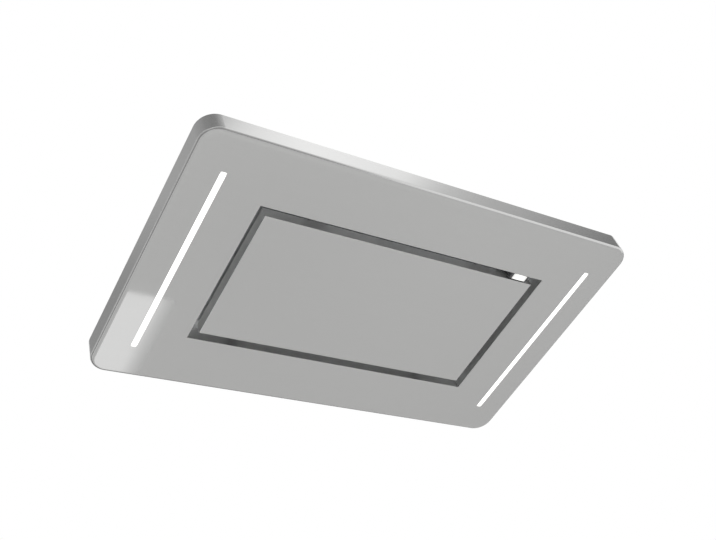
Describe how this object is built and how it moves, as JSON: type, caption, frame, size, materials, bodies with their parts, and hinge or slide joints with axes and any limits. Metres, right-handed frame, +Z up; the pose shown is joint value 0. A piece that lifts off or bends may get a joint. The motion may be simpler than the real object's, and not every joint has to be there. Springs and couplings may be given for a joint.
{
  "type": "ceiling range hood",
  "caption": "Flush ceiling range hood: brushed-steel slab with a perimeter-suction panel and side light strips, over a recessed housing with filters, blower and round duct spigot.",
  "frame": {"origin": "middle of the four hanger holes, in the ceiling plane, over the middle of the slab", "axes": "+X along the slab's long edge, to the right for someone who faces the duct side; +Y to the duct; +Z up, away from the kitchen"},
  "size_m": [1, 0.6, 0.2381],
  "materials": {
    "fascia_steel": "fine satin-brushed stainless sheet",
    "panel_steel": "fine satin-brushed stainless sheet",
    "galvanised_steel": "galvanised sheet with a soft spangle",
    "zinc_fasteners": "bright zinc",
    "filter_aluminium": "mill finish sheet",
    "extruded_aluminium": "anodised extrusion",
    "opal_plastic": "opal diffuser, lit from behind",
    "circuit_board": "lacquered board",
    "grey_plastic": "fine moulded texture",
    "white_plastic": "moulded, slightly glossy",
    "motor_paint": "semi-gloss black enamel",
    "black_rubber": "matt"
  },
  "bodies": {
    "hood": {"back_tray": "galvanised_steel", "blower_brackets": "galvanised_steel", "blower_screws": "zinc_fasteners", "bracket_bolts": "zinc_fasteners", "cable_gland": "grey_plastic", "capacitor": "white_plastic", "carrier_screws": "zinc_fasteners", "collar_screws": "zinc_fasteners", "control_board": "circuit_board", "control_box": "grey_plastic", "control_box_cover": "grey_plastic", "discharge_duct": "galvanised_steel", "fascia_frame": "fascia_steel", "filter_carrier": "galvanised_steel", "filter_frame_left": "filter_aluminium", "filter_frame_right": "filter_aluminium", "filter_mesh_left": "filter_aluminium", "filter_mesh_right": "filter_aluminium", "flap_pin": "zinc_fasteners", "hanger_brackets": "galvanised_steel", "hinge_arm_left": "galvanised_steel", "hinge_arm_right": "galvanised_steel", "housing_roof": "galvanised_steel", "housing_screws": "zinc_fasteners", "housing_shell": "galvanised_steel", "inlet_ring_left": "galvanised_steel", "inlet_ring_right": "galvanised_steel", "led_boards": "circuit_board", "led_channel_left": "extruded_aluminium", "led_channel_right": "extruded_aluminium", "led_clips": "galvanised_steel", "led_diffuser_left": "opal_plastic", "led_diffuser_right": "opal_plastic", "led_driver": "white_plastic", "led_end_caps": "grey_plastic", "magnet_catches": "grey_plastic", "motor_body": "motor_paint", "motor_bracket": "galvanised_steel", "motor_cable": "black_rubber", "opening_collar": "fascia_steel", "outlet_collar": "galvanised_steel", "rubber_mounts": "black_rubber", "scroll_side_left": "galvanised_steel", "scroll_side_right": "galvanised_steel", "scroll_wrap": "galvanised_steel", "terminal_block": "grey_plastic", "wall_grommet": "black_rubber", "wiring_clips": "galvanised_steel"},
    "panel": {"suction_panel": "panel_steel", "hinge_bracket_left": "galvanised_steel", "hinge_bracket_right": "galvanised_steel", "hinge_pins": "zinc_fasteners", "strike_plates": "galvanised_steel"},
    "impeller": {"impeller": "galvanised_steel", "impeller_blades": "galvanised_steel", "motor_shaft": "zinc_fasteners"},
    "flap_left": {"flap_left": "filter_aluminium"},
    "flap_right": {"flap_right": "filter_aluminium"},
    "latch_left": {"filter_latch_left": "grey_plastic"},
    "latch_right": {"filter_latch_right": "grey_plastic"}
  },
  "joints": [
    {"name": "panel_hinge", "type": "hinge", "parent": "hood", "child": "panel", "pos_m": [0, 0.143, -0.033], "axis": [1, 0, 0], "range_deg": [0, 90]},
    {"name": "impeller_spin", "type": "hinge", "parent": "hood", "child": "impeller", "pos_m": [0, -0.03, 0.0823], "axis": [-1, 0, 0], "continuous": true},
    {"name": "flap_left_hinge", "type": "hinge", "parent": "hood", "child": "flap_left", "pos_m": [0, 0.2057, 0.0993], "axis": [0, 0, -1], "range_deg": [0, 70], "stiffness_Nm_per_rad": 0.01, "springref_deg": -11.46},
    {"name": "flap_right_hinge", "type": "hinge", "parent": "hood", "child": "flap_right", "pos_m": [0, 0.2057, 0.0993], "axis": [0, 0, 1], "range_deg": [0, 70], "stiffness_Nm_per_rad": 0.01, "springref_deg": -11.46},
    {"name": "latch_left_slide", "type": "slide", "parent": "hood", "child": "latch_left", "axis": [0, 1, 0], "range_m": [0, 0.006], "stiffness_N_per_m": 300, "springref_m": -0.003},
    {"name": "latch_right_slide", "type": "slide", "parent": "hood", "child": "latch_right", "axis": [0, 1, 0], "range_m": [0, 0.006], "stiffness_N_per_m": 300, "springref_m": -0.003}
  ]
}
